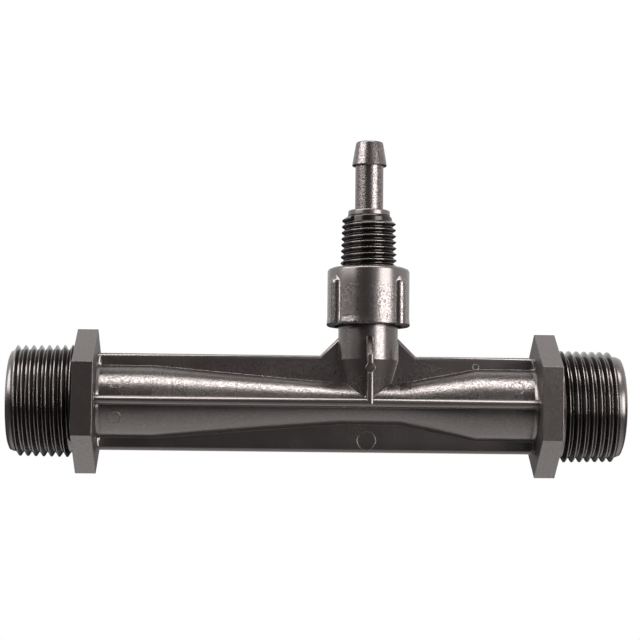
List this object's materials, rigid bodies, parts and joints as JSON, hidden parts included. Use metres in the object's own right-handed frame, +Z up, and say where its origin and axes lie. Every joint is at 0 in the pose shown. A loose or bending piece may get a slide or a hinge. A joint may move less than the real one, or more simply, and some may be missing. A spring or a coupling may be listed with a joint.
{
  "type": "venturi fertilizer injector",
  "caption": "Venturi fertilizer injector of black plastic with male pipe-thread ends, ribbed tube and a suction branch whose screw cap holds a barbed hose tail.",
  "frame": {"origin": "where the axis of the suction branch crosses the axis of the pipe run", "axes": "+X along the pipe run towards the water inlet, +Z up the suction branch, +Y towards the side the picture doesn't show"},
  "size_m": [0.1423, 0.0292, 0.0787],
  "materials": {
    "body_plastic": "black glass-filled nylon, satin with a fine spark-eroded grain",
    "nut_plastic": "black moulded plastic with a fine grain on the skirt",
    "tail_plastic": "black moulded plastic, glossy on the thread and grained on the stem",
    "seal_rubber": "plain black rubber"
  },
  "bodies": {
    "injector": {"venturi_body": "body_plastic"},
    "suction_fitting": {"hose_tail": "tail_plastic", "seal_washer": "seal_rubber"},
    "screw_cap": {"union_nut": "nut_plastic"}
  },
  "joints": [
    {"name": "union_lift", "type": "slide", "parent": "injector", "child": "suction_fitting", "axis": [0, 0, 1], "range_m": [0, 0.0085]},
    {"name": "union_nut_turn", "type": "hinge", "parent": "suction_fitting", "child": "screw_cap", "pos_m": [0, 0, 0.0256], "axis": [0, 0, 1], "range_deg": [0, 1535]}
  ],
  "couplings": [
    {"joint": "union_nut_turn", "follows": "union_lift", "rad_per_m": 3141.6}
  ]
}
